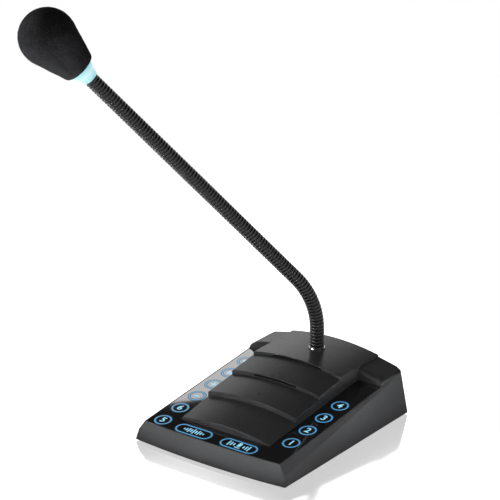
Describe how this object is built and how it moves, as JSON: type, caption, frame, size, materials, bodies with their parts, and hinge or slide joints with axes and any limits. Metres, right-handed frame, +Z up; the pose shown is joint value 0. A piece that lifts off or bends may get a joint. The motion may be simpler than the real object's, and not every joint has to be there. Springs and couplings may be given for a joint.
{
  "type": "teller window intercom",
  "caption": "Desk console for a counter intercom: sloped housing with a louvred loudspeaker hood, flush touch keys, and a bendable microphone stem with a lit ring and foam windscreen.",
  "frame": {"origin": "centre of the housing's footprint, on the desk plane under the foot ring", "axes": "+Z up, -Y towards the user, +X to the user's right"},
  "size_m": [0.2112, 0.1758, 0.302],
  "materials": {
    "housing": "fine satin texture, charcoal",
    "panel": "gloss black",
    "light_guide": "frosted clear",
    "board": "solder mask",
    "key_light": "lit",
    "steel": "plain",
    "bottom": "fine texture",
    "rubber": "matt",
    "chip": "matt",
    "socket": "matt",
    "brass": "plain",
    "speaker_metal": "matt",
    "cone": "matt",
    "foam_seal": "foam",
    "chrome": "polished",
    "neck": "ribbed satin black",
    "ring_light": "translucent, lit",
    "mic": "anodised dark",
    "foam": "open-cell foam"
  },
  "bodies": {
    "base": {"top_cover": "housing", "touch_panel": "panel", "key_light_guide": "light_guide", "key_board": "board", "key_leds": "key_light", "key_board_screws": "steel", "bottom_cover": "bottom", "foot_ring": "rubber", "housing_screws": "steel", "ballast_plate": "steel", "ballast_screws": "steel", "main_board": "board", "main_board_chips": "chip", "main_board_screws": "steel", "rear_plate": "bottom", "line_socket": "socket", "dc_jack": "socket", "dc_pin": "brass", "audio_jack": "socket", "speaker_frame": "speaker_metal", "speaker_magnet": "steel", "speaker_cone": "cone", "speaker_gasket": "foam_seal", "speaker_screws": "steel", "neck_collar": "chrome", "neck_ferrule": "chrome", "neck_washer": "steel", "neck_nut": "steel", "neck_root": "neck"},
    "neck_1": {"neck_link_1": "neck"},
    "neck_2": {"neck_link_2": "neck"},
    "neck_3": {"neck_link_3": "neck"},
    "neck_4": {"neck_link_4": "neck"},
    "neck_5": {"neck_link_5": "neck"},
    "neck_6": {"neck_link_6": "neck"},
    "neck_7": {"neck_link_7": "neck"},
    "mic_head": {"neck_tip": "neck", "led_ring": "ring_light", "led_ring_board": "board", "ring_leds": "key_light", "capsule_housing": "mic", "capsule_boot": "rubber", "capsule": "mic", "capsule_grille": "mic"},
    "windscreen": {"windscreen": "foam"}
  },
  "joints": [
    {"name": "neck_bend_1", "type": "hinge", "parent": "base", "child": "neck_1", "pos_m": [-0.00013, 0.05306, 0.06169], "axis": [0.7254, -0.6884, 0], "range_deg": [-12, 12]},
    {"name": "neck_sway_1", "type": "hinge", "parent": "neck_1", "child": "neck_2", "pos_m": [-0.00721, 0.0456, 0.09056], "axis": [0.5661, 0.5966, 0.5688], "range_deg": [-10, 10]},
    {"name": "neck_bend_2", "type": "hinge", "parent": "neck_2", "child": "neck_3", "pos_m": [-0.0213, 0.03076, 0.11382], "axis": [0.7254, -0.6884, 0], "range_deg": [-12, 12]},
    {"name": "neck_sway_2", "type": "hinge", "parent": "neck_3", "child": "neck_4", "pos_m": [-0.03566, 0.01563, 0.13675], "axis": [0.5091, 0.5365, 0.673], "range_deg": [-10, 10]},
    {"name": "neck_bend_3", "type": "hinge", "parent": "neck_4", "child": "neck_5", "pos_m": [-0.05002, 0.00049, 0.15968], "axis": [0.7254, -0.6884, 0], "range_deg": [-12, 12]},
    {"name": "neck_sway_3", "type": "hinge", "parent": "neck_5", "child": "neck_6", "pos_m": [-0.06438, -0.01464, 0.18261], "axis": [0.5091, 0.5365, 0.673], "range_deg": [-10, 10]},
    {"name": "neck_bend_4", "type": "hinge", "parent": "neck_6", "child": "neck_7", "pos_m": [-0.07874, -0.02978, 0.20554], "axis": [0.7254, -0.6884, 0], "range_deg": [-12, 12]},
    {"name": "neck_sway_4", "type": "hinge", "parent": "neck_7", "child": "mic_head", "pos_m": [-0.0931, -0.04491, 0.22847], "axis": [0.5091, 0.5365, 0.673], "range_deg": [-10, 10]},
    {"name": "windscreen_pull", "type": "slide", "parent": "mic_head", "child": "windscreen", "axis": [-0.4633, -0.4882, 0.7396], "range_m": [0, 0.06]}
  ],
  "couplings": [
    {"joint": "neck_bend_2", "follows": "neck_bend_1", "ratio": 1},
    {"joint": "neck_sway_2", "follows": "neck_sway_1", "ratio": 1},
    {"joint": "neck_bend_3", "follows": "neck_bend_1", "ratio": 1},
    {"joint": "neck_sway_3", "follows": "neck_sway_1", "ratio": 1},
    {"joint": "neck_bend_4", "follows": "neck_bend_1", "ratio": 1},
    {"joint": "neck_sway_4", "follows": "neck_sway_1", "ratio": 1}
  ]
}
